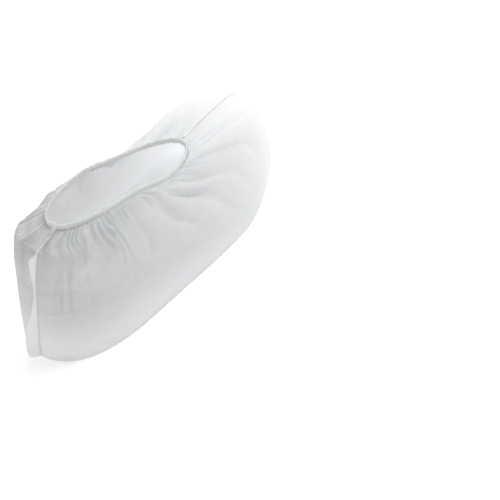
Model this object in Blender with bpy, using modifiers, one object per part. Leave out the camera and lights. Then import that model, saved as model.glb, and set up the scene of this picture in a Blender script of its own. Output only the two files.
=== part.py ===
"""Disposable shoe cover with an elastic hem, in the form that it takes over a low shoe.

One sheet of thin nonwoven cloth is folded along the sole and welded up the heel and the
toe, which leaves a seam flap at each end. An elastic hem gathers its mouth. The cover rests
on its sole, heel at -X and toe at +X, with the origin on the floor at the middle of its length.
Lengths are in metres.
"""
import math
from collections import namedtuple

import bmesh
import bpy
import numpy as np

# Body of the cover
BODY_LENGTH = 0.302  # heel to toe, at half height
HEEL_WIDTH = 0.093  # across the heel, at the sole
BALL_WIDTH = 0.113  # across the ball of the foot, at the sole
TOE_SPRING = 0.0145  # rise of the sole under the toe
CLOTH_WALL = 0.0012  # solid wall that stands for the thin cloth

# Floor to the top of the hem
HEEL_HEIGHT = 0.109  # at the back of the heel
ANKLE_HEIGHT = 0.106  # beside the ankle
INSTEP_HEIGHT = 0.090  # beside the instep
THROAT_HEIGHT = 0.083  # at the front end of the mouth

# Mouth
MOUTH_SETBACK = 0.0265  # back of the heel to the back of the mouth
MOUTH_LENGTH = 0.1645
MOUTH_BACK_WIDTH = 0.0455
MOUTH_FRONT_WIDTH = 0.048

# Elastic hem, standing on the edge of the cloth
HEM_HEIGHT = 0.004
HEM_WALL = 0.002

# Gathers that the elastic draws into the cloth
GATHERS = 32
GATHER_DEPTH = 0.0022
FOLD_DEPTH = 0.0035  # a whole fold of the table below

# Seam flaps
SEAM_WALL = 0.0012
HEEL_FLAP_REACH = 0.010  # widest part of the heel flap, behind the heel
HEEL_FLAP_LEAN = math.radians(30)  # turned towards the far side
HEEL_FLAP_PEAK = 0.0035  # its point, above the hem
TOE_TAIL_REACH = 0.022  # welded corner of the sheet, ahead of the toe
TOE_TAIL_DROOP = 0.004

GAP = 0.0003  # kept between pieces that touch

# Colours of the materials, and how rough they are
CLOTH_COLOUR, CLOTH_ROUGHNESS = (0.86, 0.87, 0.87), 0.85
HEM_COLOUR, HEM_ROUGHNESS = (0.80, 0.81, 0.80), 0.80
SEAM_COLOUR, SEAM_ROUGHNESS = (0.93, 0.94, 0.93), 0.70

# Mesh fineness
COLUMNS_PER_GATHER = 4
ROWS_PER_BAND = 3
SHARP_ANGLE = math.radians(50)
MERGE_DISTANCE = 0.00001

HALF = GATHERS * COLUMNS_PER_GATHER // 2
COLUMNS = 2 * HALF
HEEL_X = HEEL_FLAP_REACH - (HEEL_FLAP_REACH + BODY_LENGTH + TOE_TAIL_REACH) / 2

# Closed loops round the cover, from the sole up to the mouth. Setbacks are shares of BODY_LENGTH,
# widths of HEEL_WIDTH and BALL_WIDTH, and heights of HEEL_, ANKLE_, INSTEP_ and THROAT_HEIGHT.
Loop = namedtuple("Loop", "name back front heel_width ball_width heel_z ankle_z instep_z toe_z")
LOOPS = (
    Loop("lower edge", 0.007, 0.007, 1.000, 1.000, 0.048, 0.048, 0.056, 0.270),
    Loop("mid wall", 0.000, 0.000, 0.970, 0.980, 0.500, 0.500, 0.420, 0.500),
    Loop("shoulder", 0.007, 0.066, 0.945, 0.777, 0.876, 0.640, 0.710, 0.920),
    Loop("crown", 0.031, 0.200, 0.635, 0.596, 0.940, 0.904, 0.800, 0.985),
)
SOLE_INSET = 0.0025  # the flat of the sole, inside the lower edge
SOLE_FRONT_INSET = 0.006
SOLE_RINGS = ((0.93, 0.55), (0.86, 0.0))  # shares of the sole's length and width, in to its middle line
HEEL_ROUND = 0.34  # share of a loop's length that rounds off at the heel
TOE_ROUND = 0.32
MOUTH_ROUND = 0.49
HEEL_POWER = 2.3  # 2 is an ellipse, more is squarer
TOE_POWER = 2.2
WIDENING = (0.22, 0.68)  # shares of the length between which the heel's width becomes the ball's
HEIGHT_STATIONS = (0.0, 0.35, 0.70, 1.0)  # shares of the length at which a loop's heights hold
GATHER_FADE = (0.55, 0.95)  # shares of the way up between which the gathers deepen
LEAN_FADE = (0.50, 0.80)  # and between which the heel flap straightens up
FOLD_ENDS = 0.2  # share of a fold's rise over which each end fades

# Folds in the wall, each from its low end to its high end. A turn is a share of the way round from
# the heel to the toe, a place a share of the way up, and a depth a share of FOLD_DEPTH (below 0, a ridge).
Fold = namedtuple("Fold", "side turn_low place_low turn_high place_high width depth")
NEAR, FAR = -1, 1
FOLDS = (
    Fold(NEAR, 0.16, 0.55, 0.21, 0.82, 0.030, -0.45),
    Fold(NEAR, 0.19, 0.36, 0.23, 0.74, 0.032, 0.50),
    Fold(NEAR, 0.25, 0.60, 0.30, 0.80, 0.030, -0.40),
    Fold(NEAR, 0.35, 0.48, 0.36, 0.76, 0.032, 0.55),
    Fold(NEAR, 0.48, 0.38, 0.43, 0.74, 0.040, 0.80),
    Fold(NEAR, 0.58, 0.34, 0.51, 0.76, 0.045, 1.00),
    Fold(NEAR, 0.65, 0.42, 0.60, 0.90, 0.032, 0.55),
    Fold(NEAR, 0.71, 0.47, 0.74, 0.94, 0.030, 0.60),
    Fold(NEAR, 0.76, 0.52, 0.78, 0.92, 0.030, -0.35),
    Fold(NEAR, 0.86, 0.64, 0.82, 0.93, 0.032, 0.45),
    Fold(NEAR, 0.95, 0.62, 0.93, 0.93, 0.032, 0.40),
    Fold(FAR, 0.12, 0.56, 0.14, 0.84, 0.030, 0.40),
    Fold(FAR, 0.22, 0.40, 0.21, 0.74, 0.034, 0.45),
    Fold(FAR, 0.31, 0.56, 0.33, 0.80, 0.032, -0.40),
    Fold(FAR, 0.45, 0.38, 0.41, 0.75, 0.042, 0.85),
    Fold(FAR, 0.57, 0.36, 0.53, 0.78, 0.044, 0.90),
    Fold(FAR, 0.68, 0.44, 0.66, 0.90, 0.034, 0.55),
    Fold(FAR, 0.80, 0.56, 0.77, 0.92, 0.032, 0.50),
    Fold(FAR, 0.90, 0.64, 0.88, 0.92, 0.030, 0.40),
)

# Seam flaps, from the sole to the mouth: place as a share of the way up, width as a share of the reach
FlapRow = namedtuple("FlapRow", "place width")
HEEL_FLAP = (
    FlapRow(0.14, 0.50),
    FlapRow(0.18, 0.78),
    FlapRow(0.25, 1.00),
    FlapRow(0.32, 0.97),
    FlapRow(0.36, 0.68),
    FlapRow(0.40, 0.42),
    FlapRow(0.47, 0.38),
    FlapRow(0.53, 0.68),
    FlapRow(0.57, 0.80),
    FlapRow(0.61, 0.60),
    FlapRow(0.66, 0.32),
    FlapRow(0.80, 0.28),
    FlapRow(0.92, 0.32),
    FlapRow(0.975, 0.30),
)
TOE_TAIL = (
    FlapRow(0.02, 0.60),
    FlapRow(0.06, 0.88),
    FlapRow(0.12, 1.00),
    FlapRow(0.29, 1.00),
    FlapRow(0.34, 0.88),
    FlapRow(0.37, 0.60),
    FlapRow(0.40, 0.32),
    FlapRow(0.46, 0.18),
    FlapRow(0.60, 0.14),
    FlapRow(0.975, 0.12),
)


def ramp(x, start, end):
    """0 up to start and 1 from end on, with a soft step between them."""
    x = np.clip((x - start) / (end - start), 0.0, 1.0)
    return x * x * (3 - 2 * x)


def hermite(u, start, start_slope, end, end_slope):
    """Point at share u of a cubic between two ends, whose slopes are per whole span."""
    return (
        (2 * u**3 - 3 * u**2 + 1) * start
        + (u**3 - 2 * u**2 + u) * start_slope
        + (3 * u**2 - 2 * u**3) * end
        + (u**3 - u**2) * end_slope
    )


def height_along(share, heights):
    """Heights at shares of the length, through the stations without overshooting them."""
    stations = np.array(HEIGHT_STATIONS)
    heights = np.array(heights)
    span = np.diff(stations)
    rise = np.diff(heights) / span
    slope = np.zeros(len(stations))
    for i in range(1, len(stations) - 1):
        if rise[i - 1] * rise[i] > 0:
            before = 2 * span[i] + span[i - 1]
            after = span[i] + 2 * span[i - 1]
            slope[i] = (before + after) / (before / rise[i - 1] + after / rise[i])
    i = np.clip(np.searchsorted(stations, share, side="right") - 1, 0, len(span) - 1)
    u = (share - stations[i]) / span[i]
    return hermite(u, heights[i], slope[i] * span[i], heights[i + 1], slope[i + 1] * span[i])


def half_width(share, heel_width, ball_width, heel_round, toe_round):
    """Half the width of a loop at shares of its length, rounded off at both ends."""
    widening = ramp(share, *WIDENING)
    width = heel_width + (ball_width - heel_width) * widening
    from_heel = np.clip(1 - share / heel_round, 0, 1)
    from_toe = np.clip(1 - (1 - share) / toe_round, 0, 1)
    heel_cap = (1 - from_heel**HEEL_POWER) ** (1 / HEEL_POWER)
    toe_cap = (1 - from_toe**TOE_POWER) ** (1 / TOE_POWER)
    return width / 2 * heel_cap * toe_cap


def closed_loop(back_x, front_x, widths, rounds, heights):
    """Points of a loop: from the heel along the near side (-Y) to the toe, and back along the far side."""
    share = (1 - np.cos(np.linspace(0, math.pi, HALF + 1))) / 2
    x = back_x + (front_x - back_x) * share
    y = half_width(share, *widths, *rounds)
    z = height_along(share, heights)
    near = np.stack([x, -y, z], axis=1)
    far = np.stack([x, y, z], axis=1)[::-1]
    return np.concatenate([near, far[1:-1]])


def cover_loops():
    """All loops from the edge of the sole's flat to the edge of the cloth, under the hem."""
    rounds = (HEEL_ROUND, TOE_ROUND)
    lower = LOOPS[0]
    loops = [
        closed_loop(
            HEEL_X + BODY_LENGTH * lower.back + SOLE_INSET,
            HEEL_X + BODY_LENGTH * (1 - lower.front) - SOLE_FRONT_INSET,
            (HEEL_WIDTH * lower.heel_width - 2 * SOLE_INSET, BALL_WIDTH * lower.ball_width - 2 * SOLE_INSET),
            rounds,
            (0, 0, 0, TOE_SPRING),
        )
    ]
    for row in LOOPS:
        heights = (
            HEEL_HEIGHT * row.heel_z,
            ANKLE_HEIGHT * row.ankle_z,
            INSTEP_HEIGHT * row.instep_z,
            THROAT_HEIGHT * row.toe_z,
        )
        loops.append(
            closed_loop(
                HEEL_X + BODY_LENGTH * row.back,
                HEEL_X + BODY_LENGTH * (1 - row.front),
                (HEEL_WIDTH * row.heel_width, BALL_WIDTH * row.ball_width),
                rounds,
                heights,
            )
        )
    hem_tops = (HEEL_HEIGHT, ANKLE_HEIGHT, INSTEP_HEIGHT, THROAT_HEIGHT)
    loops.append(
        closed_loop(
            HEEL_X + MOUTH_SETBACK,
            HEEL_X + MOUTH_SETBACK + MOUTH_LENGTH,
            (MOUTH_BACK_WIDTH, MOUTH_FRONT_WIDTH),
            (MOUTH_ROUND, MOUTH_ROUND),
            [top - HEM_HEIGHT - GAP for top in hem_tops],
        )
    )
    return np.array(loops)


def loft(loops, at):
    """Rows of points at places 0 to 1 up the cover, on a smooth curve through the loops."""
    slopes = np.zeros_like(loops)
    slopes[1:-1] = (loops[2:] - loops[:-2]) / 2
    slopes[0] = loops[1] - loops[0]
    slopes[-1] = loops[-1] - loops[-2]
    rows = []
    for place in at:
        i = min(int(place * (len(loops) - 1)), len(loops) - 2)
        u = place * (len(loops) - 1) - i
        rows.append(hermite(u, loops[i], slopes[i], loops[i + 1], slopes[i + 1]))
    return np.array(rows)


def outward_normals(rows):
    """Unit normals of a grid of points that closes round its columns."""
    along = np.roll(rows, -1, axis=1) - np.roll(rows, 1, axis=1)
    up = np.gradient(rows, axis=0)
    normals = np.cross(along, up)
    return normals / np.linalg.norm(normals, axis=2, keepdims=True)


def fold_relief(fold, turns, sides, places):
    """How far one fold pushes each point inwards: deepest on its line, fading at both ends."""
    rise = (places - fold.place_low) / (fold.place_high - fold.place_low)
    line = fold.turn_low + (fold.turn_high - fold.turn_low) * rise
    across = np.exp(-(((turns[None, :] - line[:, None]) / fold.width) ** 2))
    along = ramp(rise, -FOLD_ENDS, FOLD_ENDS) * ramp(1 - rise, -FOLD_ENDS, FOLD_ENDS)
    on_side = (sides == fold.side) | (sides == 0)
    return fold.depth * FOLD_DEPTH * across * along[:, None] * on_side[None, :]


def body_rows():
    """The wall of the cover, from the sole's flat to the mouth, with its gathers and folds."""
    places = np.linspace(0, 1, (len(LOOPS) + 1) * ROWS_PER_BAND + 1)
    rows = loft(cover_loops(), places)
    normals = outward_normals(rows)
    column = np.arange(COLUMNS)
    turns = 1 - np.abs(column / HALF - 1)
    sides = np.where(column % HALF == 0, 0, np.where(column < HALF, NEAR, FAR))
    gather = (1 - np.cos(2 * math.pi * GATHERS * column / COLUMNS)) / 2
    inwards = GATHER_DEPTH * ramp(places, *GATHER_FADE)[:, None] * gather[None, :]
    for fold in FOLDS:
        inwards += fold_relief(fold, turns, sides, places)
    return rows - normals * inwards[:, :, None]


def sole_rings(edge):
    """Rows inside the sole's flat: one ring and the middle line, with the rise of the toe."""
    back = edge[0, 0]
    front = edge[HALF, 0]
    middle = (back + front) / 2
    rings = []
    for lengthwise, across in SOLE_RINGS:
        x = middle + (edge[:, 0] - middle) * lengthwise
        y = edge[:, 1] * across
        z = height_along((x - back) / (front - back), (0, 0, 0, TOE_SPRING))
        rings.append(np.stack([x, y, z], axis=1))
    return rings


def unit(vectors):
    return vectors / np.linalg.norm(vectors, axis=1, keepdims=True)


def along_column(places, body_places, values):
    """Values of one column of the body, read at other places along its straight facets."""
    return np.stack([np.interp(places, body_places, values[:, axis]) for axis in range(3)], axis=1)


def mesh_object(name, points, faces, material, collection):
    """A smooth-shaded object from points and faces."""
    mesh = bpy.data.meshes.new(name)
    mesh.from_pydata([tuple(p) for p in points], [], faces)
    bm = bmesh.new()
    bm.from_mesh(mesh)
    bmesh.ops.remove_doubles(bm, verts=bm.verts, dist=MERGE_DISTANCE)
    bmesh.ops.recalc_face_normals(bm, faces=bm.faces)
    bm.to_mesh(mesh)
    bm.free()
    mesh.shade_smooth()
    mesh.set_sharp_from_angle(angle=SHARP_ANGLE)
    mesh.materials.append(material)
    obj = bpy.data.objects.new(name, mesh)
    collection.objects.link(obj)
    return obj


def thicken(obj, wall, offset):
    """Give an open surface its wall: offset -1 puts it inside, 0 on both sides."""
    solidify = obj.modifiers.new("Wall", "SOLIDIFY")
    solidify.thickness = wall
    solidify.offset = offset
    solidify.use_even_offset = True
    return obj


def band_faces(lower, upper):
    """Quads between two closed rows of point numbers."""
    count = len(lower)
    return [
        (lower[i], lower[(i + 1) % count], upper[(i + 1) % count], upper[i])
        for i in range(count)
    ]


def cloth_material(name, colour, roughness):
    material = bpy.data.materials.new(name)
    material.use_nodes = True
    shader = material.node_tree.nodes["Principled BSDF"]
    shader.inputs["Base Color"].default_value = (*colour, 1.0)
    shader.inputs["Roughness"].default_value = roughness
    shader.inputs["Metallic"].default_value = 0.0
    return material


def make_body(rows, collection):
    """The cover's cloth: wall and sole as one open shell, with a wall inwards."""
    edge = rows[0]
    ring, middle_line = sole_rings(edge)
    points = np.concatenate([middle_line, ring, rows.reshape(-1, 3)])
    numbers = np.arange(len(points)).reshape(-1, COLUMNS)
    faces = []
    for lower, upper in zip(numbers[:-1], numbers[1:]):
        faces += band_faces(lower, upper)
    material = cloth_material("nonwoven_cloth", CLOTH_COLOUR, CLOTH_ROUGHNESS)
    body = mesh_object("cover_body", points, faces, material, collection)
    return thicken(body, CLOTH_WALL, -1)


def make_hem(rim, collection):
    """The elastic hem: a band that stands on the edge of the cloth and gathers with it."""
    base = rim + (0, 0, GAP)
    top = base + (0, 0, HEM_HEIGHT)
    points = np.concatenate([base, top])
    numbers = np.arange(len(points)).reshape(-1, COLUMNS)
    material = cloth_material("elastic_hem", HEM_COLOUR, HEM_ROUGHNESS)
    hem = mesh_object("elastic_hem", points, band_faces(*numbers), material, collection)
    return thicken(hem, HEM_WALL, -1)


def make_flap(name, column, flap_rows, reach, lean, droop, peak, rows, collection):
    """A welded flap along one column of the body: a strip from just off the cloth to its free edge."""
    body_places = np.linspace(0, 1, len(rows))
    place_of = [row.place for row in flap_rows]
    between = [place for place in body_places if place_of[0] < place < place_of[-1]]
    places = np.array(sorted(set(place_of) | set(between)))
    widths = reach * np.interp(places, place_of, [row.width for row in flap_rows])
    widths[-1] = HEM_HEIGHT + GAP + peak
    line = along_column(places, body_places, rows[:, column])
    climb = along_column(places, body_places, np.gradient(rows[:, column], axis=0))
    outward = unit(np.cross((0, 1, 0) if column else (0, -1, 0), climb))
    level = unit(outward * (1, 1, 0) + np.maximum(outward, 0) * (0, 0, 1))
    leaning = (lean * (1 - ramp(places, *LEAN_FADE)))[:, None]
    roots = line + outward * (GAP + SEAM_WALL / 2 * np.sin(leaning))
    tips = roots + (level * np.cos(leaning) + np.array((0, 1, 0)) * np.sin(leaning)) * widths[:, None]
    tips[:, 2] -= droop * widths / reach
    points = np.stack([roots, tips], axis=1).reshape(-1, 3)
    faces = [(i, i + 1, i + 3, i + 2) for i in range(0, len(points) - 2, 2)]
    material = cloth_material(name, SEAM_COLOUR, SEAM_ROUGHNESS)
    flap = mesh_object(name, points, faces, material, collection)
    return thicken(flap, SEAM_WALL, 0)


def main():
    for obj in list(bpy.data.objects):
        bpy.data.objects.remove(obj, do_unlink=True)
    collection = bpy.data.collections.new("shoe_cover")
    bpy.context.scene.collection.children.link(collection)
    rows = body_rows()
    make_body(rows, collection)
    make_hem(rows[-1], collection)
    heel = (HEEL_FLAP, HEEL_FLAP_REACH, HEEL_FLAP_LEAN, 0, HEEL_FLAP_PEAK)
    toe = (TOE_TAIL, TOE_TAIL_REACH, 0, TOE_TAIL_DROOP, -HEM_HEIGHT / 2)
    make_flap("heel_seam_flap", 0, *heel, rows, collection)
    make_flap("toe_seam_flap", HALF, *toe, rows, collection)


main()
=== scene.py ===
"""Looks of a disposable shoe cover: fine gathered cloth, elastic hem, welded seam flaps and a studio.

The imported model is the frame. Each of its four soft solids is replaced by a finer piece made from
the same sizes. Lengths are in metres, heel at -X and toe at +X, and the cover rests on z = 0.
"""

import math
from collections import namedtuple

import bmesh
import bpy
import numpy as np
from mathutils import Matrix, Vector


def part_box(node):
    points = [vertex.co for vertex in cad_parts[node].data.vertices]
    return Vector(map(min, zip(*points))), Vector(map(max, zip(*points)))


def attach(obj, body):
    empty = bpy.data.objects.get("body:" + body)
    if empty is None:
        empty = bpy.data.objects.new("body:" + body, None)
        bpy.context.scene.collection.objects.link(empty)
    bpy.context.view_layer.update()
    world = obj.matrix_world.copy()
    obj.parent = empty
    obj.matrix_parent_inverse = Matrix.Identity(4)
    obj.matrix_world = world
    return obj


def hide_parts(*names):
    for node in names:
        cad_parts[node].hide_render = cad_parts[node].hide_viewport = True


bl_info = {
    "name": "Shoe cover",
    "version": (1, 0, 0),
    "blender": (4, 5, 0),
    "location": "View3D > Sidebar > Shoe cover",
    "description": "Builds a disposable nonwoven shoe cover over its packed model",
    "category": "Object",
}

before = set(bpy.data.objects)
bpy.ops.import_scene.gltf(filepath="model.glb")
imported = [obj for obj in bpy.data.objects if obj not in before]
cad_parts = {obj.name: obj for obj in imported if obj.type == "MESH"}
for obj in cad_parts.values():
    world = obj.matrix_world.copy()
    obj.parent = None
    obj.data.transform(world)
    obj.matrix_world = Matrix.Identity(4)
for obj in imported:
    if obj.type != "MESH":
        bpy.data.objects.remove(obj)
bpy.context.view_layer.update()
BODY_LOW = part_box("cover_body")[0]

# Camera and lights of the stage
CAMERA_PLACE = (-0.5567, -0.3599, 0.5549)
CAMERA_FORWARD = (0.6845, 0.3372, -0.6463)
CAMERA_RIGHT = (0.4781, -0.8769, 0.0488)
CAMERA_LENS = 74.8
SKY_COLOUR, SKY_STRENGTH = (0.985, 0.99, 1.0, 1.0), 0.34
FLOOR_GLOW = 0.36
FLOOR_SIZE = 6.0
FLOOR_DROP = 0.0004
LAMP_AIM = (0.0, 0.0, 0.05)
LAMP_DISTANCE = 1.4

# Soft lamps, each aimed at the cover: degrees round it and above the floor, metres and watts
Lamp = namedtuple("Lamp", "name turn rise size power colour")
LAMPS = (
    Lamp("key over the toe", -22, 52, 0.9, 9.8, (1.0, 1.0, 1.0)),
    Lamp("near toe side", -42, 32, 1.0, 2.2, (0.98, 0.99, 1.0)),
    Lamp("far toe side", 40, 35, 1.0, 4.0, (1.0, 1.0, 1.0)),
    Lamp("overhead", 0, 88, 1.2, 4.0, (1.0, 1.0, 1.0)),
    Lamp("far side", 100, 38, 1.0, 2.0, (1.0, 0.97, 0.93)),
    Lamp("behind, low", 38, 14, 0.8, 6.0, (1.0, 1.0, 1.0)),
    Lamp("heel", 192, 14, 0.8, 2.2, (1.0, 0.98, 0.95)),
)

# Fineness of the meshes
PLEATS = 132  # fine gathers round the mouth
HALF = 396  # columns of points on each side, six to a fine gather
COLUMNS = 2 * HALF
ROWS_IN_BAND = (3, 10, 10, 11, 15)  # rows between neighbouring loops, from the sole up

# Rings inside the sole's flat, in to its middle line: shares of its length and of its width
SOLE_RINGS = ((0.985, 0.90), (0.965, 0.76), (0.945, 0.60), (0.920, 0.42), (0.890, 0.21), (0.860, 0.0))

# Form of the cover, as in the part's source
GAP = 0.0003  # between the pieces
WELD = 0.000002  # points closer than this are joined
SOLE_INSET = 0.0025  # from the widest part of the lowest loop in to the sole's flat
SOLE_FRONT_INSET = 0.006
HEEL_ROUND, TOE_ROUND, MOUTH_ROUND = 0.34, 0.32, 0.49  # shares of a loop that its ends take up
HEEL_POWER, TOE_POWER = 2.3, 2.2  # 2 rounds an end like an ellipse, and more makes it squarer
WIDENING = (0.22, 0.68)  # shares of the length between which the heel widens to the ball
HEIGHT_STATIONS = (0.0, 0.35, 0.70, 1.0)  # heel, ankle, instep and throat or toe
FOLD_ENDS = 0.2  # share of a fold over which each of its ends fades

# Loops from the lower edge to the crown: how far each stands in at the back and the front as a
# share of the length, its widths as shares of the whole ones, and its heights of those of the hem
Loop = namedtuple("Loop", "back front heel_width ball_width heel_z ankle_z instep_z toe_z")
LOOPS = (
    Loop(0.007, 0.007, 1.000, 1.000, 0.048, 0.048, 0.056, 0.270),
    Loop(0.000, 0.000, 0.970, 0.980, 0.500, 0.500, 0.420, 0.500),
    Loop(0.007, 0.066, 0.945, 0.777, 0.876, 0.640, 0.710, 0.920),
    Loop(0.031, 0.200, 0.635, 0.596, 0.940, 0.904, 0.800, 0.985),
)

# Gathers round the mouth: wide puffs, tucks between them, and the fine pleats at the hem. Each
# fades between its start and its length, measured from the rim down the wall. A chance is an
# amount, the harmonics of the curve that it wanders on, and the seed of its draws.
Chance = namedtuple("Chance", "amount harmonics seed")
Gather = namedtuple("Gather", "jitter seed sharpness start length length_chance")
PUFF = Gather(0.9, 31, 1.6, 0.006, 0.056, Chance(0.018, (7, 11, 17), 21))
TUCK = Gather(1.2, 51, 1.5, 0.002, 0.024, Chance(0.012, (6, 10, 15), 61))
PLEAT = Gather(0.5, 71, 1.0, 0.0, 0.012, Chance(0.005, (9, 16, 23), 81))
JITTER_HARMONICS = (3, 5, 8, 13)
PUFF_SHORTER = 0.008  # how much shorter the puffs are over the toe
SLANT = Chance(0.03, (2, 3, 5), 11)  # turn of the gathers for each metre down the wall

# Strength of the gathers: everywhere, added over the toe, and added on the far side of the vamp
Strength = namedtuple("Strength", "everywhere toe far_vamp")
PUFF_STRENGTH = Strength(0.80, -0.50, 0.70)
TUCK_STRENGTH = Strength(0.75, -0.50, 0.15)
PUFF_CHANCE = Chance(0.35, (5, 9, 14), 41)
PLEAT_STRENGTH = 0.8
PLEAT_CHANCE = Chance(0.3, (19, 29, 41), 72)
TOEWARD = (0.45, 0.75)  # turns between which the toe's strengths come in
FAR_VAMP_START = (0.34, 0.50)
FAR_VAMP_END = (0.85, 0.95)
STILL_AT_SEAM = 0.03  # share of the way round over which the gathers rise from the seams
HELD = 0.90  # share of a puff that the hem holds back
HELD_LENGTH_NEAR, HELD_LENGTH_FAR = 0.010, 0.018
TUCK_AT_RIM = 0.2  # share of a tuck that is left where the hem holds it
SWELL_START = (0.0, 0.004)
SWELL_END = (0.008, 0.022)
FOLDS_LESS_AT_TOE = 0.50  # share of a fold's depth that is lost over the toe

# Folds in the wall, from their low to their high end: turn is the share of the way from heel to
# toe, place the share of the way up, and depth a share of the fold depth, below 0 for a ridge.
Fold = namedtuple("Fold", "side turn_low place_low turn_high place_high width depth")
NEAR, FAR = -1, 1
FOLDS = (
    Fold(NEAR, 0.16, 0.55, 0.21, 0.82, 0.030, -0.45),
    Fold(NEAR, 0.19, 0.36, 0.23, 0.74, 0.032, 0.50),
    Fold(NEAR, 0.25, 0.60, 0.30, 0.80, 0.030, -0.40),
    Fold(NEAR, 0.35, 0.48, 0.36, 0.76, 0.032, 0.55),
    Fold(NEAR, 0.48, 0.38, 0.43, 0.74, 0.040, 0.80),
    Fold(NEAR, 0.58, 0.34, 0.51, 0.76, 0.045, 1.00),
    Fold(NEAR, 0.65, 0.42, 0.60, 0.90, 0.032, 0.55),
    Fold(NEAR, 0.71, 0.47, 0.74, 0.94, 0.030, 0.60),
    Fold(NEAR, 0.76, 0.52, 0.78, 0.92, 0.030, -0.35),
    Fold(NEAR, 0.86, 0.64, 0.82, 0.93, 0.032, 0.45),
    Fold(NEAR, 0.95, 0.62, 0.93, 0.93, 0.032, 0.40),
    Fold(FAR, 0.12, 0.56, 0.14, 0.84, 0.030, 0.40),
    Fold(FAR, 0.22, 0.40, 0.21, 0.74, 0.034, 0.45),
    Fold(FAR, 0.31, 0.56, 0.33, 0.80, 0.032, -0.40),
    Fold(FAR, 0.45, 0.38, 0.41, 0.75, 0.042, 0.85),
    Fold(FAR, 0.57, 0.36, 0.53, 0.78, 0.044, 0.90),
    Fold(FAR, 0.68, 0.44, 0.66, 0.90, 0.034, 0.55),
    Fold(FAR, 0.80, 0.56, 0.77, 0.92, 0.032, 0.50),
    Fold(FAR, 0.90, 0.64, 0.88, 0.92, 0.030, 0.40),
)

# Narrow creases on top of the folds
CREASES = (
    Fold(NEAR, 0.030, 0.46, 0.040, 0.88, 0.009, 0.34),
    Fold(NEAR, 0.062, 0.40, 0.070, 0.86, 0.010, -0.30),
    Fold(NEAR, 0.090, 0.42, 0.100, 0.88, 0.010, 0.42),
    Fold(NEAR, 0.162, 0.54, 0.212, 0.84, 0.008, -0.46),
    Fold(NEAR, 0.250, 0.60, 0.300, 0.82, 0.008, -0.44),
    Fold(NEAR, 0.312, 0.52, 0.325, 0.78, 0.009, 0.42),
    Fold(NEAR, 0.350, 0.46, 0.375, 0.76, 0.010, 0.48),
    Fold(NEAR, 0.192, 0.36, 0.176, 0.55, 0.010, 0.38),
    Fold(NEAR, 0.120, 0.50, 0.132, 0.64, 0.006, 0.30),
    Fold(NEAR, 0.470, 0.42, 0.438, 0.74, 0.012, 0.36),
    Fold(NEAR, 0.460, 0.58, 0.440, 0.78, 0.020, 0.70),
    Fold(NEAR, 0.570, 0.38, 0.512, 0.78, 0.014, 0.40),
    Fold(NEAR, 0.545, 0.60, 0.514, 0.82, 0.020, 0.95),
    Fold(NEAR, 0.650, 0.42, 0.600, 0.92, 0.012, 0.26),
    Fold(NEAR, 0.713, 0.47, 0.738, 0.97, 0.012, 0.26),
    Fold(NEAR, 0.735, 0.50, 0.765, 0.95, 0.012, -0.18),
    Fold(NEAR, 0.790, 0.56, 0.785, 0.95, 0.014, 0.16),
    Fold(NEAR, 0.863, 0.64, 0.820, 0.95, 0.014, 0.18),
    Fold(NEAR, 0.930, 0.66, 0.905, 0.95, 0.016, 0.14),
    Fold(NEAR, 0.975, 0.64, 0.975, 0.94, 0.014, 0.16),
    Fold(FAR, 0.034, 0.42, 0.045, 0.88, 0.010, 0.38),
    Fold(FAR, 0.066, 0.46, 0.075, 0.86, 0.009, -0.30),
    Fold(FAR, 0.080, 0.58, 0.110, 0.86, 0.008, 0.28),
    Fold(FAR, 0.180, 0.50, 0.215, 0.80, 0.008, -0.28),
    Fold(FAR, 0.290, 0.46, 0.300, 0.78, 0.009, 0.32),
    Fold(FAR, 0.445, 0.40, 0.405, 0.76, 0.012, 0.36),
    Fold(FAR, 0.560, 0.38, 0.525, 0.80, 0.013, 0.38),
    Fold(FAR, 0.640, 0.44, 0.610, 0.92, 0.009, 0.30),
    Fold(FAR, 0.730, 0.50, 0.745, 0.95, 0.009, 0.28),
    Fold(FAR, 0.830, 0.60, 0.800, 0.95, 0.012, 0.22),
    Fold(FAR, 0.940, 0.66, 0.925, 0.95, 0.012, 0.20),
)

# Seam flaps from the sole to the mouth: place up the cover, and width as a share of the reach
HEEL_FLAP = (
    (0.155, 0.40), (0.176, 0.66), (0.223, 0.92), (0.285, 1.00), (0.347, 0.72), (0.383, 0.46), (0.41, 0.28),
    (0.44, 0.15), (0.47, 0.17), (0.513, 0.30), (0.563, 0.50), (0.609, 0.68), (0.625, 0.45), (0.645, 0.20),
    (0.70, 0.13), (0.80, 0.11), (0.90, 0.13), (0.975, 0.20),
)
TOE_TAIL = (
    (0.02, 0.60), (0.06, 0.88), (0.12, 1.00), (0.29, 1.00), (0.34, 0.88),
    (0.37, 0.60), (0.40, 0.32), (0.45, 0.12), (0.52, 0.022), (0.975, 0.018),
)

# Lines of the seams: place up the cover, and metres sideways of the middle
HEEL_SEAM_LINE = (
    (0.14, 0.0015), (0.24, 0.0008), (0.34, -0.0012), (0.46, -0.0028), (0.58, -0.0044), (0.90, -0.0042),
    (1.0, -0.0036),
)
TOE_SEAM_LINE = ((0.0, 0.0), (1.0, 0.0))
HEEL_LEAN_FADE = (0.50, 0.80)
TOE_LEAN_START = (0.34, 0.48)
TOE_LEAN = math.radians(80)
FLAP_CLEAR = 0.0004  # from the cloth to the middle of the flap's thickness
FLAP_ROWS = 96
FLAP_COLUMNS = 9
FLAP_TOP = 0.89  # from here up, the flap rises to its point at the hem
POINT_LEAN = 0.3  # of that point, over the hem
CORNER_SHIFTS = (-0.016, -0.008, 0.0, 0.008, 0.016)  # places averaged to round a flap's corners
RIPPLE, RIPPLES, RIPPLE_SLANT = 0.0006, 11, 4  # depth, count and slant of the free edge's ripples
SEAM_SEARCH = 60  # columns on each side of an end column that its seam can stray over

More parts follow.
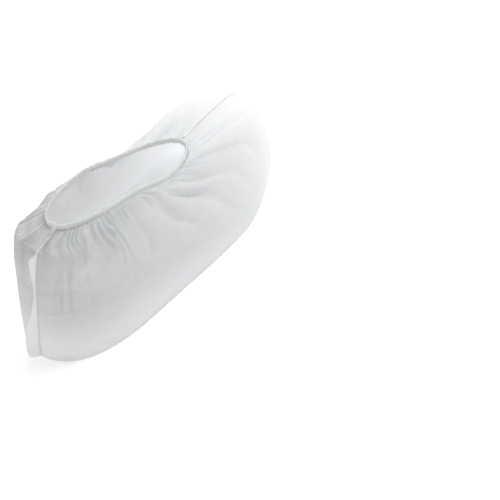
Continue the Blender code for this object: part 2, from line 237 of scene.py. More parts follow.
# Section of the hem in shares of its height: outwards and up from the edge of the cloth
HEM_SECTION = (
    (-0.04, 0.04), (-0.16, 0.08), (-0.21, 0.26), (-0.23, 0.50), (-0.23, 0.74), (-0.19, 0.92), (-0.11, 1.02),
    (0.00, 1.03), (0.07, 0.96), (0.10, 0.84), (0.09, 0.66), (0.07, 0.50), (0.06, 0.20), (0.05, -0.14),
    (0.03, -0.16), (0.01, -0.02),
)
# From where the inner face starts along the section, the hem is darkened with painted shade
HEM_INNER_SHADE = (0.0063, 0.0070)  # where the inner face starts, in metres along the section
HEM_OUTER = (-0.15, 0.05)  # shares outwards between which the hem passes to its outer face
HEM_HELD_IN = 0.5  # share of the pleats' depth that the inner face follows
HEM_BULGE, HEM_BULGE_AT = 0.15, 0.45  # share of that depth that the outer face stands out, and where
HEM_RISE = 0.10  # share of it that the top rises on a crest
HEM_CHANCE = Chance(0.0001, (61, 83, 97), 91)

# Finishes
PASSED_LIGHT = (0.97, 0.975, 0.98, 1.0)  # tint of the light that comes through the cloth
CLOTH_SEE_THROUGH, HEM_SEE_THROUGH, SEAM_SEE_THROUGH = 0.54, 0.42, 0.15
CLOTH_RELIEF, HEM_RELIEF, SEAM_RELIEF = 0.00012, 0.0002, 0.00015  # heights of the bump
CLOTH_DOTS, SEAM_DOTS = 0.0021, 0.0015  # pitch of the welded dots
DOT_EDGE = (0.16, 0.30)
DRAG_SCALE = (45.0, 650.0, 1.0)  # of the long wrinkles next to the sole
HEM_WRINKLE_SCALE = (900.0, 160.0, 1.0)
FIBRE_SCALE = (260.0, 2400.0, 1.0)
FIBRE_ANGLES = (0.5, 1.6, 2.6)

# Lightness of the cloth: painted light added towards the toe, which leaves painted shade towards the heel, a
# painted highlight at the toe and painted floor bounce near the floor, and where
BASE_DENSITY = 0.08
TOEWARD_PAINTED_LIGHT, TOEWARD_RANGE = 0.66, (-0.11, 0.10)
TOE_PAINTED_HIGHLIGHT, TOE_RANGE = 0.20, (0.05, 0.13)
FLOOR_BOUNCE_PAINTED_LIGHT, FOOT_RANGE = 0.68, (0.004, 0.055)

# Pressed marks on the back of the heel: where each lies, and from where to where it runs. A lying
# mark has a height, and runs sideways. An upright mark has a distance from the middle.
Mark = namedtuple("Mark", "place start end")
LYING_MARKS = (Mark(0.068, 0.000, 0.029), Mark(0.050, 0.006, 0.031))
UPRIGHT_MARKS = (Mark(0.0235, 0.048, 0.088), Mark(0.0185, 0.050, 0.068))
MARK_EDGE = (0.0003, 0.0013)  # distances from a mark's line between which it fades
MARK_FADE = 0.004  # and the length over which its ends do
MARKS_END = (-0.140, -0.125)
SOLE_WRINKLES = (0.003, 0.014)  # heights between which the wrinkles next to the sole fade


def length_property(name, description, default):
    return bpy.props.FloatProperty(
        name=name, description=description, default=default, min=0.0, unit="LENGTH", precision=4
    )


def colour_property(name, description, default):
    return bpy.props.FloatVectorProperty(
        name=name, description=description, default=default, subtype="COLOR", min=0.0, max=1.0
    )


class CoverSizes(bpy.types.PropertyGroup):
    """Sizes of the cover's cloth, in the form it takes over a low shoe."""

    body_length: length_property("Body length", "Heel to toe, at half height", 0.302)
    heel_width: length_property("Heel width", "Across the heel, at the sole", 0.093)
    ball_width: length_property("Ball width", "Across the ball of the foot, at the sole", 0.113)
    toe_spring: length_property("Toe spring", "Rise of the sole under the toe", 0.0145)
    heel_height: length_property("Heel height", "Floor to the top of the hem, at the heel", 0.109)
    ankle_height: length_property("Ankle height", "Floor to the top of the hem, beside the ankle", 0.106)
    instep_height: length_property("Instep height", "Floor to the top of the hem, beside the instep", 0.090)
    throat_height: length_property("Throat height", "Floor to the top of the hem, at its front end", 0.083)
    cloth: length_property("Cloth", "Thickness of the cloth", 0.0003)
    flat_width: length_property("Flat width", "Width of the sheet before it was folded and welded", 0.34)
    flat_length: length_property("Flat length", "Length of the sheet before it was folded and welded", 0.40)


class MouthSizes(bpy.types.PropertyGroup):
    """Sizes of the mouth and its elastic hem."""

    setback: length_property("Setback", "Back of the heel to the back of the mouth", 0.0265)
    length: length_property("Length", "Length of the mouth", 0.1645)
    back_width: length_property("Back width", "Width of the mouth towards the heel", 0.0455)
    front_width: length_property("Front width", "Width of the mouth towards the toe", 0.048)
    hem_height: length_property("Hem height", "Height of the elastic hem", 0.004)


class GatherSizes(bpy.types.PropertyGroup):
    """Depths of the gathers, folds and creases."""

    puffs: bpy.props.IntProperty(name="Puffs", description="Wide gathers round the mouth", default=34, min=8)
    puff_depth: length_property("Puff depth", "Depth between two wide gathers", 0.0026)
    pleat_depth: length_property("Pleat depth", "Depth of the fine gathers at the hem", 0.0006)
    swell: length_property("Swell", "How far the gathered cloth stands out under the hem", 0.0010)
    fold_depth: length_property("Fold depth", "Depth of a whole fold in the wall", 0.0035)


class FlapSizes(bpy.types.PropertyGroup):
    """Sizes of the welded seam flaps."""

    heel_reach: length_property("Heel reach", "Widest part of the flap behind the heel", 0.0102)
    heel_lean: bpy.props.FloatProperty(
        name="Heel lean", description="Turn of the heel flap to the far side", default=math.radians(30),
        subtype="ANGLE",
    )
    heel_peak: length_property("Heel peak", "Point of the heel flap above the hem", 0.0035)
    toe_reach: length_property("Toe reach", "Welded corner of the sheet ahead of the toe", 0.022)
    toe_droop: length_property("Toe droop", "Drop of the toe flap's free edge", 0.004)
    thickness: length_property("Thickness", "Two layers of cloth welded together", 0.0006)


class CoverColours(bpy.types.PropertyGroup):
    """Colours of the cloth, the hem, the seams and the floor."""

    # Colour where the cloth is dense, and of the painted light towards the toe, at the toe and near the
    # floor
    cloth: colour_property("Cloth", "Dense parts of the nonwoven cloth", (0.95, 0.955, 0.96))
    # Colour where the cloth is thin, and of the painted shade towards the heel and in the creases
    thin_and_shaded_cloth: colour_property("Thin cloth", "Thin parts of the nonwoven cloth", (0.58, 0.585, 0.59))
    hem: colour_property("Hem", "Elastic hem", (0.85, 0.854, 0.848))
    seam: colour_property("Seam", "Welded seam flaps", (0.97, 0.975, 0.965))
    floor: colour_property("Floor", "Plain floor", (0.93, 0.93, 0.93))


class Socket:
    """A shader socket in Python expressions: each operator adds its Math node."""

    def __init__(self, tree, output):
        self.tree = tree
        self.output = output

    def other(self, name):
        """Another output of the same node."""
        return Socket(self.tree, self.output.node.outputs[name])

    def math(self, operation, *values):
        return self.tree.add("ShaderNodeMath", {"operation": operation}, dict(enumerate(values)))

    def __add__(self, value):
        return self.math("ADD", self, value)

    def __radd__(self, value):
        return self.math("ADD", value, self)

    def __sub__(self, value):
        return self.math("SUBTRACT", self, value)

    def __rsub__(self, value):
        return self.math("SUBTRACT", value, self)

    def __mul__(self, value):
        return self.math("MULTIPLY", self, value)

    def __rmul__(self, value):
        return self.math("MULTIPLY", value, self)

    def __truediv__(self, value):
        return self.math("DIVIDE", self, value)

    def __pow__(self, value):
        return self.math("POWER", self, value)

    def __abs__(self):
        return self.math("ABSOLUTE", self)

    def fract(self):
        return self.math("FRACT", self)

    def most(self, value):
        return self.math("MAXIMUM", self, value)


class Shading:
    """A material's node tree, with one method that adds any node."""

    def __init__(self, name):
        self.material = bpy.data.materials.new(name)
        self.material.use_nodes = True
        self.tree = self.material.node_tree
        self.tree.nodes.clear()

    def add(self, kind, settings=None, values=None):
        """A node with its settings and the values or links of its sockets; returns its first output."""
        node = self.tree.nodes.new(kind)
        for name, value in (settings or {}).items():
            setattr(node, name, value)
        for key, value in (values or {}).items():
            if isinstance(value, Socket):
                self.tree.links.new(value.output, node.inputs[key])
            else:
                node.inputs[key].default_value = value
        live = [output for output in node.outputs if output.enabled]
        return Socket(self, live[0]) if live else node

    def step(self, value, start, end):
        """0 up to start and 1 from end on, with a soft step between them."""
        return self.add(
            "ShaderNodeMapRange",
            {"interpolation_type": "SMOOTHSTEP"},
            {"Value": value, "From Min": start, "From Max": end, "To Min": 0.0, "To Max": 1.0},
        )

    def noise(self, vector, scale, detail=3.0, roughness=0.5, distortion=0.0):
        return self.add(
            "ShaderNodeTexNoise",
            {"noise_dimensions": "3D"},
            {
                "Vector": vector,
                "Scale": scale,
                "Detail": detail,
                "Roughness": roughness,
                "Distortion": distortion,
            },
        )

    def mapped(self, vector, scale=(1.0, 1.0, 1.0), angle=0.0):
        return self.add(
            "ShaderNodeMapping", {}, {"Vector": vector, "Scale": scale, "Rotation": (0.0, 0.0, angle)}
        )

    def mix(self, factor, first, second):
        """A colour between two others."""
        return self.add(
            "ShaderNodeMix", {"data_type": "RGBA"}, {"Factor": factor, "A": first, "B": second}
        )


def opaque(colour):
    return (*colour, 1.0)


def ramp(x, start, end):
    """0 up to start and 1 from end on, with a soft step between them."""
    x = np.clip((x - start) / (end - start), 0.0, 1.0)
    return x * x * (3 - 2 * x)


def fade(x, start, end):
    """1 up to start and 0 from end on, with a soft step between them."""
    return 1 - ramp(x, start, end)


def hermite(u, start, start_slope, end, end_slope):
    """Point at share u of a cubic between two ends, whose slopes are per whole span."""
    return (
        (2 * u**3 - 3 * u**2 + 1) * start
        + (u**3 - 2 * u**2 + u) * start_slope
        + (3 * u**2 - 2 * u**3) * end
        + (u**3 - u**2) * end_slope
    )


def height_along(share, heights):
    """Heights at shares of the length, through the stations without overshooting them."""
    stations = np.array(HEIGHT_STATIONS)
    heights = np.array(heights)
    span = np.diff(stations)
    rise = np.diff(heights) / span
    slope = np.zeros(len(stations))
    for i in range(1, len(stations) - 1):
        if rise[i - 1] * rise[i] > 0:
            before = 2 * span[i] + span[i - 1]
            after = span[i] + 2 * span[i - 1]
            slope[i] = (before + after) / (before / rise[i - 1] + after / rise[i])
    i = np.clip(np.searchsorted(stations, share, side="right") - 1, 0, len(span) - 1)
    u = (share - stations[i]) / span[i]
    return hermite(u, heights[i], slope[i] * span[i], heights[i + 1], slope[i + 1] * span[i])


def half_width(share, heel_width, ball_width, heel_round, toe_round):
    """Half the width of a loop at shares of its length, rounded off at both ends."""
    width = heel_width + (ball_width - heel_width) * ramp(share, *WIDENING)
    from_heel = np.clip(1 - share / heel_round, 0, 1)
    from_toe = np.clip(1 - (1 - share) / toe_round, 0, 1)
    heel_cap = (1 - from_heel**HEEL_POWER) ** (1 / HEEL_POWER)
    toe_cap = (1 - from_toe**TOE_POWER) ** (1 / TOE_POWER)
    return width / 2 * heel_cap * toe_cap


def closed_loop(back_x, front_x, widths, rounds, heights):
    """Points of a loop: from the heel along the near side (-Y) to the toe, and back."""
    share = (1 - np.cos(np.linspace(0, math.pi, HALF + 1))) / 2
    x = back_x + (front_x - back_x) * share
    y = half_width(share, *widths, *rounds)
    z = height_along(share, heights)
    near = np.stack([x, -y, z], axis=1)
    far = np.stack([x, y, z], axis=1)[::-1]
    return np.concatenate([near, far[1:-1]])


def cover_loops(cover, mouth):
    """All loops from the edge of the sole's flat to the edge of the cloth, under the hem."""
    heel_x = BODY_LOW[0]
    rounds = (HEEL_ROUND, TOE_ROUND)
    lower = LOOPS[0]
    loops = [
        closed_loop(
            heel_x + cover.body_length * lower.back + SOLE_INSET,
            heel_x + cover.body_length * (1 - lower.front) - SOLE_FRONT_INSET,
            (
                cover.heel_width * lower.heel_width - 2 * SOLE_INSET,
                cover.ball_width * lower.ball_width - 2 * SOLE_INSET,
            ),
            rounds,
            (0, 0, 0, cover.toe_spring),
        )
    ]
    tops = (cover.heel_height, cover.ankle_height, cover.instep_height, cover.throat_height)
    for row in LOOPS:
        shares = (row.heel_z, row.ankle_z, row.instep_z, row.toe_z)
        loops.append(
            closed_loop(
                heel_x + cover.body_length * row.back,
                heel_x + cover.body_length * (1 - row.front),
                (cover.heel_width * row.heel_width, cover.ball_width * row.ball_width),
                rounds,
                [top * share for top, share in zip(tops, shares)],
            )
        )
    loops.append(
        closed_loop(
            heel_x + mouth.setback,
            heel_x + mouth.setback + mouth.length,
            (mouth.back_width, mouth.front_width),
            (MOUTH_ROUND, MOUTH_ROUND),
            [top - mouth.hem_height - GAP for top in tops],
        )
    )
    return np.array(loops)


def loft(loops, at):
    """Rows of points at places 0 to 1 up the cover, on a smooth curve through the loops."""
    slopes = np.zeros_like(loops)
    slopes[1:-1] = (loops[2:] - loops[:-2]) / 2
    slopes[0] = loops[1] - loops[0]
    slopes[-1] = loops[-1] - loops[-2]
    rows = []
    for place in at:
        i = min(int(place * (len(loops) - 1) + 1e-9), len(loops) - 2)
        u = place * (len(loops) - 1) - i
        rows.append(hermite(u, loops[i], slopes[i], loops[i + 1], slopes[i + 1]))
    return np.array(rows)


def outward_normals(rows):
    """Unit normals of a grid of points that closes round its columns."""
    along = np.roll(rows, -1, axis=1) - np.roll(rows, 1, axis=1)
    up = np.gradient(rows, axis=0)
    normals = np.cross(along, up)
    return normals / np.linalg.norm(normals, axis=2, keepdims=True)


def row_places():
    """Places of the rows up the cover, closer together towards the mouth."""
    places = [0.0]
    for band, count in enumerate(ROWS_IN_BAND):
        places += [(band + (i + 1) / count) / len(ROWS_IN_BAND) for i in range(count)]
    return np.array(places)


def fold_relief(fold, turns, sides, places):
    """How far one fold pushes each point inwards: deepest on its line, fading at both ends."""
    rise = (places - fold.place_low) / (fold.place_high - fold.place_low)
    line = fold.turn_low + (fold.turn_high - fold.turn_low) * rise
    across = np.exp(-(((turns[None, :] - line[:, None]) / fold.width) ** 2))
    along = ramp(rise, -FOLD_ENDS, FOLD_ENDS) * ramp(1 - rise, -FOLD_ENDS, FOLD_ENDS)
    on_side = (sides == fold.side) | (sides == 0)
    return fold.depth * across * along[:, None] * on_side[None, :]


def wander(around, chance):
    """A smooth closed curve of chance values round the mouth, about as large as their amount."""
    draws = np.random.RandomState(chance.seed)
    total = np.zeros_like(around)
    for harmonic in chance.harmonics:
        total += np.cos(2 * math.pi * (harmonic * around + draws.rand()))
    return chance.amount * total / math.sqrt(len(chance.harmonics))


def waves(around, count, gather):
    """Irregular waves round the mouth, 0 on a crest and 1 in a valley."""
    phase = count * around + wander(around, Chance(gather.jitter, JITTER_HARMONICS, gather.seed))
    return ((1 - np.cos(2 * math.pi * phase)) / 2) ** gather.sharpness


def reach_down(gather, around, from_rim, shorter=0.0):
    """1 near the rim and 0 past the uneven length of a gather."""
    length = gather.length - shorter + wander(around, gather.length_chance)
    return fade(from_rim, gather.start, length)


def pleats(around):
    """The fine gathers that the elastic draws in, of uneven strength."""
    return waves(around, PLEATS, PLEAT) * (PLEAT_STRENGTH + wander(around, PLEAT_CHANCE))


def cloth_rows(cover, mouth, gathers):
    """The wall of the cover from the sole's flat to the mouth, with gathers, folds and creases."""
    places = row_places()
    rows = loft(cover_loops(cover, mouth), places)
    normals = outward_normals(rows)
    column = np.arange(COLUMNS)
    around = np.tile(column / COLUMNS, (len(places), 1))
    turns = 1 - np.abs(column / HALF - 1)
    sides = np.where(column % HALF == 0, 0, np.where(column < HALF, NEAR, FAR))
    steps = np.linalg.norm(np.diff(rows, axis=0), axis=2)
    from_rim = np.zeros(rows.shape[:2])
    from_rim[:-1] = np.cumsum(steps[::-1], axis=0)[::-1]

    off_seam = ramp(np.minimum(turns, 1 - turns), 0.0, STILL_AT_SEAM)[None, :]
    toeward = ramp(turns, *TOEWARD)[None, :]
    far_vamp = (ramp(turns, *FAR_VAMP_START) * fade(turns, *FAR_VAMP_END) * (column > HALF))[None, :]
    held_length = np.where(column > HALF, HELD_LENGTH_FAR, HELD_LENGTH_NEAR)[None, :]
    free = 1 - HELD * fade(from_rim, 0.0, held_length)
    slanted = around + from_rim * wander(around, SLANT)

    def strength(kind):
        return kind.everywhere + kind.toe * toeward + kind.far_vamp * far_vamp

    puff = waves(slanted, gathers.puffs, PUFF) * (strength(PUFF_STRENGTH) + wander(around, PUFF_CHANCE))
    puff *= free * reach_down(PUFF, around, from_rim, PUFF_SHORTER * toeward)
    tuck = waves(slanted, 2 * gathers.puffs + 3, TUCK) * strength(TUCK_STRENGTH)
    tuck *= (TUCK_AT_RIM + (1 - TUCK_AT_RIM) * free) * reach_down(TUCK, around, from_rim)
    pleat = pleats(around) * reach_down(PLEAT, around, from_rim)
    swell = ramp(from_rim, *SWELL_START) * fade(from_rim, *SWELL_END)
    inwards = gathers.puff_depth * (puff + tuck) + gathers.pleat_depth * pleat - gathers.swell * swell
    inwards *= off_seam

    fold_depth = gathers.fold_depth * (1 - FOLDS_LESS_AT_TOE * toeward)
    for fold in FOLDS + CREASES:
        inwards += fold_depth * fold_relief(fold, turns, sides, places)
    return rows - normals * inwards[:, :, None]


def sole_rings(edge, toe_spring):
    """Rows inside the sole's flat, in to its middle line, with the rise of the toe."""
    back = edge[0, 0]
    front = edge[HALF, 0]
    middle = (back + front) / 2
    rings = []
    for lengthwise, across in SOLE_RINGS:
        x = middle + (edge[:, 0] - middle) * lengthwise
        y = edge[:, 1] * across
        z = height_along((x - back) / (front - back), (0, 0, 0, toe_spring))
        rings.append(np.stack([x, y, z], axis=1))
    return rings


def grid_mesh(name, rows, closed=True, sole_rows=0):
    """A smooth mesh object from rows of points, with a UV map in metres along the cloth.

    In the rows of the sole the map is the plan of the cover.
    """
    height, count = rows.shape[:2]
    row, column = np.meshgrid(
        np.arange(height - 1), np.arange(count if closed else count - 1), indexing="ij"
    )
    corner_rows = np.stack([row, row, row + 1, row + 1], axis=-1).reshape(-1, 4)
    corner_columns = np.stack([column, column + 1, column + 1, column], axis=-1).reshape(-1, 4)
    faces = corner_rows * count + corner_columns % count
    mesh = bpy.data.meshes.new(name)
    mesh.from_pydata(rows.reshape(-1, 3).tolist(), [], faces.tolist())

    middle = rows[height // 2]
    ring = np.concatenate([middle, middle[:1]]) if closed else middle
    around = np.concatenate([[0.0], np.cumsum(np.linalg.norm(np.diff(ring, axis=0), axis=1))])
    up = np.zeros(rows.shape[:2])
    up[1:] = np.cumsum(np.linalg.norm(np.diff(rows, axis=0), axis=2), axis=0)
    spots = np.stack([around[corner_columns], up[corner_rows, corner_columns % count]], axis=-1)
    sole = corner_rows[:, 0] < sole_rows
    spots[sole] = rows[corner_rows[sole], corner_columns[sole] % count, :2]
    layer = mesh.uv_layers.new(name="Cloth")
    layer.data.foreach_set("uv", spots.astype(np.float32).ravel())
    mesh.shade_smooth()
    obj = bpy.data.objects.new(name, mesh)
    bpy.context.scene.collection.objects.link(obj)
    return obj


def weld_first_row(obj, count):
    """Join the points of the first row that lie on each other, along the middle of the sole."""
    work = bmesh.new()
    work.from_mesh(obj.data)
    work.verts.ensure_lookup_table()
    bmesh.ops.remove_doubles(work, verts=work.verts[:count], dist=WELD)
    work.to_mesh(obj.data)
    work.free()


def thicken(obj, thickness, offset):
    """Give an open sheet its thickness: offset -1 puts it inside, 0 on both sides."""
    solidify = obj.modifiers.new("Cloth thickness", "SOLIDIFY")
    solidify.thickness = thickness
    solidify.offset = offset
    return obj


def seam_line(rows, column, places, sideways):
    """Points on the cloth at places up the cover, a little sideways of one of its end columns."""
    body_places = row_places()
    nearby = (column + np.arange(SEAM_SEARCH, -SEAM_SEARCH - 1, -1)) % COLUMNS
    if column:
        nearby = nearby[::-1]
    shifts = np.interp(body_places, [place for place, _ in sideways], [shift for _, shift in sideways])
    line = []
    for row, shift in zip(rows, shifts):
        line.append([np.interp(shift, row[nearby, 1], row[nearby, axis]) for axis in range(3)])
    line = np.array(line)
    return np.stack([np.interp(places, body_places, line[:, axis]) for axis in range(3)], axis=1)


def unit(vectors):
    return vectors / np.linalg.norm(vectors, axis=-1, keepdims=True)


def rounded(places, known):
    """Widths at places, through the known ones, with their corners rounded off."""
    at = [place for place, _ in known]
    widths = [width for _, width in known]
    return np.mean([np.interp(places + shift, at, widths) for shift in CORNER_SHIFTS], axis=0)


def flap_rows(rows, column, known, sideways, reach, lean, top_width, droop):
    """Rows of points of a welded flap, from just off the cloth out to its free edge."""
    places = np.linspace(known[0][0], known[-1][0], FLAP_ROWS)
    widths = reach * rounded(places, known)
    top = ramp(places, FLAP_TOP, known[-1][0])
    widths = widths * (1 - top) + top_width * top
    line = seam_line(rows, column, places, sideways)
    climb = np.gradient(line, axis=0)
    outward = unit(np.cross((0, 1, 0) if column else (0, -1, 0), climb))
    level = unit(outward * (1, 1, 0) + np.maximum(outward, 0) * (0, 0, 1))
    upright = np.array((-POINT_LEAN if column else POINT_LEAN, 0, 1))
    level = unit(level * (1 - top)[:, None] + upright * top[:, None])
    leaning = lean(places)[:, None]
    roots = line + outward * FLAP_CLEAR
    reachward = level * np.cos(leaning) + np.array((0, 1, 0)) * np.sin(leaning)
    sidelong = np.cross(reachward, unit(climb))
    strip = []
    for share in np.linspace(0, 1, FLAP_COLUMNS):
        wave = np.sin(2 * math.pi * places * RIPPLES + RIPPLE_SLANT * share)
        ripple = RIPPLE * share**2 * wave * (1 - top)
        point = roots + reachward * (widths * share)[:, None] + sidelong * ripple[:, None]
        point[:, 2] -= droop * widths / reach * share**1.5
        strip.append(point)
    return np.stack(strip, axis=1)


def bond_dots(shading, u, v, pitch):
    """1 on the small welded spots of spunbond cloth, in a diamond pattern."""
    first = abs(((u + v) / pitch).fract() - 0.5)
    second = abs(((u - v) / pitch).fract() - 0.5)
    return 1 - shading.step((first * first + second * second) ** 0.5, *DOT_EDGE)


def fibres(shading, uv):
    """Fine crossing fibres, 0 to 1."""
    strands = []
    for angle in FIBRE_ANGLES:
        lie = shading.mapped(uv, FIBRE_SCALE, angle)
        strands.append(1 - abs(shading.noise(lie, scale=1.0, detail=2.0, distortion=0.6) * 2 - 1))
    return (strands[0].most(strands[1]).most(strands[2])) ** 3


def finish_material(shading, colour, roughness, height, relief, see_through):
    """The shader of a cloth: matt, with a share of the light that falls on its other side."""
    normal = shading.add(
        "ShaderNodeBump", {}, {"Strength": 0.6, "Distance": relief, "Height": height}
    )
    surface = shading.add(
        "ShaderNodeBsdfPrincipled",
        {},
        {"Base Color": colour, "Roughness": roughness, "Normal": normal, "Specular IOR Level": 0.25},
    )
    behind = shading.add("ShaderNodeBsdfTranslucent", {}, {"Color": PASSED_LIGHT})
    both = shading.add("ShaderNodeMixShader", {}, {0: see_through, 1: surface, 2: behind})
    shading.add("ShaderNodeOutputMaterial", {}, {"Surface": both})
    return shading.material


def pressed_mark(shading, mark, across, along):
    """1 on a thin straight mark, where the folded cover was pressed in its pack."""
    line = 1 - shading.step(abs(across - mark.place), *MARK_EDGE)
    begun = shading.step(along, mark.start, mark.start + MARK_FADE)
    return line * begun * (1 - shading.step(along, mark.end - MARK_FADE, mark.end))


def pack_marks(shading, x, y, z):
    """The pressed marks on the back of the heel."""
    side = abs(y)
    marks = [pressed_mark(shading, mark, z, side) for mark in LYING_MARKS]
    marks += [pressed_mark(shading, mark, side, z) for mark in UPRIGHT_MARKS]
    strongest = marks[0]
    for mark in marks[1:]:
        strongest = strongest.most(mark)
    return strongest * (1 - shading.step(x, *MARKS_END))


def nonwoven_cloth(colours):
    """Thin matt spunbond cloth: welded dots, crossing fibres and clouds of denser cloth, with painted light
    towards the toe, at the toe and near the floor, and painted shade towards the heel, in its pressed marks
    and in the wrinkles next to the sole.
    """
    shading = Shading("nonwoven_cloth")
    spot = shading.add("ShaderNodeTexCoord").other("Object")
    x = shading.add("ShaderNodeSeparateXYZ", {}, {"Vector": spot})
    y, z = x.other("Y"), x.other("Z")
    uv = shading.add("ShaderNodeUVMap", {"uv_map": "Cloth"})
    u = shading.add("ShaderNodeSeparateXYZ", {}, {"Vector": uv})
    v = u.other("Y")
    marks = pack_marks(shading, x, y, z)
    dots = bond_dots(shading, u, v, CLOTH_DOTS)
    strands = fibres(shading, uv)
    cloud = shading.step(shading.noise(uv, scale=120.0, detail=4.0, roughness=0.6), 0.35, 0.68)
    drag = shading.noise(shading.mapped(uv, DRAG_SCALE), scale=1.0, detail=2.0, distortion=0.3)
    wrinkles = shading.step(drag, 0.45, 0.62) * (1 - shading.step(z, *SOLE_WRINKLES))
    # The pressed marks and the wrinkles next to the sole are also darkened here: painted shade in their
    # creases, beside their bump
    web_and_crease_shade = (cloud * 0.16 + strands * 0.13) * (1 - dots * 0.45) - marks * 0.35 - wrinkles * 0.15
    # Painted light and shade: lighter near the floor as painted floor bounce, lighter at the toe as a
    # painted highlight, and lighter towards the toe, which leaves painted shade towards the heel
    foot = FLOOR_BOUNCE_PAINTED_LIGHT * (1 - shading.step(z, *FOOT_RANGE))
    toe = TOE_PAINTED_HIGHLIGHT * shading.step(x, *TOE_RANGE)
    forward = TOEWARD_PAINTED_LIGHT * shading.step(x, *TOEWARD_RANGE)
    lightness = BASE_DENSITY + web_and_crease_shade + forward.most(foot) + toe
    colour = shading.mix(lightness, opaque(colours.thin_and_shaded_cloth), opaque(colours.cloth))
    roughness = 0.86 - dots * 0.18 + cloud * 0.06
    height = strands * 0.5 - dots * 0.7 + cloud * 0.3 - marks * 2.2 - wrinkles * 3.5
    return finish_material(shading, colour, roughness, height, CLOTH_RELIEF, CLOTH_SEE_THROUGH)


def hem_cloth(colours):
    """The same cloth drawn together over the elastic: close cross wrinkles, with painted shade in their
    hollows and on the hem's inner face.
    """
    shading = Shading("elastic_hem")
    uv = shading.add("ShaderNodeUVMap", {"uv_map": "Cloth"})
    lie = shading.mapped(uv, HEM_WRINKLE_SCALE)
    wrinkles = shading.noise(lie, scale=1.0, detail=3.0, roughness=0.55, distortion=0.4)
    strands = fibres(shading, uv)
    split = shading.add("ShaderNodeSeparateXYZ", {}, {"Vector": uv})
    # Painted shade: darker on the inner face, and darker in the hollows of the wrinkles than on their crests
    inner_shade = shading.step(split.other("Y"), *HEM_INNER_SHADE)
    lightness = (shading.step(wrinkles, 0.3, 0.7) * 0.4 + strands * 0.2 + 0.4) * (1 - inner_shade * 0.8)
    colour = shading.mix(lightness, opaque([0.88 * part for part in colours.hem]), opaque(colours.hem))
    roughness = 0.80 + wrinkles * 0.1
    height = wrinkles + strands * 0.3
    return finish_material(shading, colour, roughness, height, HEM_RELIEF, HEM_SEE_THROUGH)


def welded_seam(colours):
    """Two layers of the cloth pressed and welded together, with rows of weld marks."""
    shading = Shading("welded_seam")
    uv = shading.add("ShaderNodeUVMap", {"uv_map": "Cloth"})
    split = shading.add("ShaderNodeSeparateXYZ", {}, {"Vector": uv})
    across, along = split.other("Y"), split
    strands = fibres(shading, uv)
    cells = bond_dots(shading, across, along, SEAM_DOTS)
    cloud = shading.noise(uv, scale=160.0)
    lightness = cloud * 0.5 + strands * 0.3 + 0.2 - cells * 0.15
    colour = shading.mix(lightness, opaque([0.93 * part for part in colours.seam]), opaque(colours.seam))
    roughness = 0.70 - cells * 0.15 + cloud * 0.08
    height = strands * 0.4 - cells * 0.8 + cloud * 0.4
    return finish_material(shading, colour, roughness, height, SEAM_RELIEF, SEAM_SEE_THROUGH)


def dress(obj, material, slot, *nodes):
    """Finish a piece: its material, the body it moves with and the nodes it stands for. The slot is not
    used.
    """
    obj.data.materials.append(material)
    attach(obj, "root")
    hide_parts(*nodes)
    return obj


class COVER_OT_cloth(bpy.types.Operator):
    """Build the cover's gathered cloth, sole and wall in one sheet"""

    bl_idname = "cover.cloth"
    bl_label = "Gathered cloth"

    def execute(self, context):
        scene = context.scene
        rows = cloth_rows(scene.cover_sizes, scene.mouth_sizes, scene.gather_sizes)
        rings = sole_rings(rows[0], scene.cover_sizes.toe_spring)
        sheet = np.concatenate([np.array(rings)[::-1], rows])
        body = grid_mesh("gathered_cloth", sheet, sole_rows=len(rings))
        weld_first_row(body, COLUMNS)
        thicken(body, scene.cover_sizes.cloth, -1)
        dress(body, nonwoven_cloth(scene.cover_colours), "nonwoven_cloth", "cover_body")
        return {"FINISHED"}


class COVER_OT_hem(bpy.types.Operator):
    """Build the elastic hem on the edge of the cloth"""

    bl_idname = "cover.hem"
    bl_label = "Elastic hem"

    def execute(self, context):
        scene = context.scene
        mouth = scene.mouth_sizes
        rim = cloth_rows(scene.cover_sizes, mouth, scene.gather_sizes)[-1]
        smooth = cover_loops(scene.cover_sizes, mouth)[-1]
        along = np.roll(smooth, -1, axis=0) - np.roll(smooth, 1, axis=0)
        outward = unit(np.cross(along, (0, 0, 1)))
        around = np.arange(COLUMNS) / COLUMNS
        crests = scene.gather_sizes.pleat_depth * (1 - pleats(around))
        bulge = crests + wander(around, HEM_CHANCE)
        held_in = rim - outward * (HEM_HELD_IN * crests)[:, None]
        rows = []
        for out, up in HEM_SECTION:
            outer = ramp(np.array(out), *HEM_OUTER)
            point = rim * outer + held_in * (1 - outer)
            reach = out * mouth.hem_height + HEM_BULGE * bulge * outer * (1 - abs(up - HEM_BULGE_AT))
            point += outward * reach[:, None]
            point[:, 2] += up * (mouth.hem_height + HEM_RISE * bulge) + GAP
            rows.append(point)
        rows.append(rows[0])
        hem = grid_mesh("elastic_hem_roll", np.array(rows)[::-1])
        dress(hem, hem_cloth(scene.cover_colours), "elastic_hem", "elastic_hem")
        return {"FINISHED"}


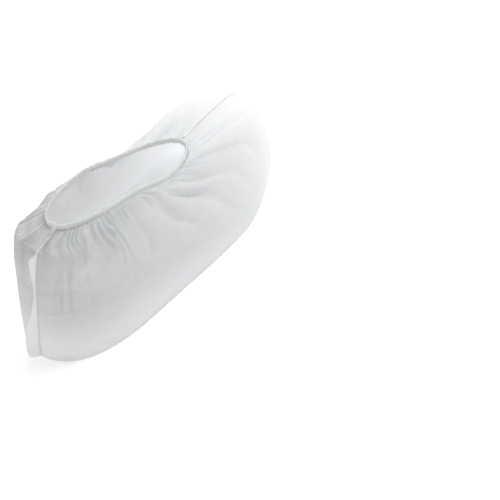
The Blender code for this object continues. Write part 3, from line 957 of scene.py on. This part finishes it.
class COVER_OT_flaps(bpy.types.Operator):
    """Build the welded seam flaps at the heel and the toe"""

    bl_idname = "cover.flaps"
    bl_label = "Seam flaps"

    def execute(self, context):
        scene = context.scene
        cloth = cloth_rows(scene.cover_sizes, scene.mouth_sizes, scene.gather_sizes)
        hem = scene.mouth_sizes.hem_height
        flaps = scene.flap_sizes
        material = welded_seam(scene.cover_colours)
        heel = flap_rows(
            cloth, 0, HEEL_FLAP, HEEL_SEAM_LINE, flaps.heel_reach,
            lambda places: flaps.heel_lean * (1 - ramp(places, *HEEL_LEAN_FADE)),
            hem + GAP + flaps.heel_peak, 0.0,
        )
        toe = flap_rows(
            cloth, HALF, TOE_TAIL, TOE_SEAM_LINE, flaps.toe_reach,
            lambda places: TOE_LEAN * ramp(places, *TOE_LEAN_START),
            hem / 2 + GAP, flaps.toe_droop,
        )
        for name, rows, node in (
            ("heel_flap", heel, "heel_seam_flap"),
            ("toe_tail", toe, "toe_seam_flap"),
        ):
            flap = grid_mesh(name, rows, closed=False)
            thicken(flap, flaps.thickness, 0)
            dress(flap, material, "welded_seam", node)
        return {"FINISHED"}


class COVER_OT_stage(bpy.types.Operator):
    """Add the floor, the lights and the camera"""

    bl_idname = "cover.stage"
    bl_label = "Stage"

    def execute(self, context):
        scene = context.scene
        bpy.ops.mesh.primitive_plane_add(size=FLOOR_SIZE, location=(0, 0, -FLOOR_DROP))
        floor = context.object
        floor.name = "floor"
        shading = Shading("floor")
        surface = shading.add(
            "ShaderNodeBsdfPrincipled",
            {},
            {
                "Base Color": opaque(scene.cover_colours.floor),
                "Roughness": 0.9,
                "Specular IOR Level": 0.1,
                "Emission Color": (1.0, 1.0, 1.0, 1.0),
                "Emission Strength": FLOOR_GLOW,
            },
        )
        shading.add("ShaderNodeOutputMaterial", {}, {"Surface": surface})
        floor.data.materials.append(shading.material)

        world = bpy.data.worlds.new("studio")
        world.use_nodes = True
        sky = world.node_tree.nodes["Background"]
        sky.inputs["Color"].default_value = SKY_COLOUR
        sky.inputs["Strength"].default_value = SKY_STRENGTH
        scene.world = world
        for lamp in LAMPS:
            light = bpy.data.lights.new(lamp.name, "AREA")
            light.shape = "DISK"
            light.size = lamp.size
            light.energy = lamp.power
            light.color = lamp.colour
            turn = math.radians(lamp.turn)
            rise = math.radians(lamp.rise)
            away = Vector((math.cos(rise) * math.cos(turn), math.cos(rise) * math.sin(turn), math.sin(rise)))
            holder = bpy.data.objects.new(lamp.name, light)
            holder.location = Vector(LAMP_AIM) + LAMP_DISTANCE * away
            holder.rotation_euler = (-away).to_track_quat("-Z", "Y").to_euler()
            scene.collection.objects.link(holder)

        lens = bpy.data.cameras.new("camera")
        lens.sensor_width = 36.0
        lens.lens = CAMERA_LENS
        lens.clip_start = 0.01
        camera = bpy.data.objects.new("camera", lens)
        forward = Vector(CAMERA_FORWARD).normalized()
        right = Vector(CAMERA_RIGHT).normalized()
        above = right.cross(forward).normalized()
        right = forward.cross(above)
        turned = Matrix((right, above, -forward)).transposed()
        camera.matrix_world = Matrix.Translation(CAMERA_PLACE) @ turned.to_4x4()
        scene.collection.objects.link(camera)
        scene.camera = camera
        scene.view_settings.view_transform = "Standard"
        return {"FINISHED"}


class COVER_PT_panel(bpy.types.Panel):
    """Buttons that build the cover"""

    bl_idname = "COVER_PT_panel"
    bl_label = "Shoe cover"
    bl_space_type = "VIEW_3D"
    bl_region_type = "UI"
    bl_category = "Shoe cover"

    def draw(self, context):
        for operator in OPERATORS:
            self.layout.operator(operator.bl_idname)
        for name in GROUPS:
            group = getattr(context.scene, name)
            box = self.layout.box()
            for field in group.__annotations__:
                box.prop(group, field)


GROUPS = {
    "cover_sizes": CoverSizes,
    "mouth_sizes": MouthSizes,
    "gather_sizes": GatherSizes,
    "flap_sizes": FlapSizes,
    "cover_colours": CoverColours,
}
OPERATORS = (COVER_OT_cloth, COVER_OT_hem, COVER_OT_flaps, COVER_OT_stage)


def register():
    for group in GROUPS.values():
        bpy.utils.register_class(group)
    for name, group in GROUPS.items():
        setattr(bpy.types.Scene, name, bpy.props.PointerProperty(type=group))
    for operator in OPERATORS:
        bpy.utils.register_class(operator)
    bpy.utils.register_class(COVER_PT_panel)


def unregister():
    bpy.utils.unregister_class(COVER_PT_panel)
    for operator in reversed(OPERATORS):
        bpy.utils.unregister_class(operator)
    for name in GROUPS:
        delattr(bpy.types.Scene, name)
    for group in reversed(list(GROUPS.values())):
        bpy.utils.unregister_class(group)


def main():
    register()
    bpy.ops.object.select_all(action="DESELECT")
    bpy.ops.cover.cloth()
    bpy.ops.cover.hem()
    bpy.ops.cover.flaps()
    bpy.ops.cover.stage()


if __name__ == "__main__":
    main()
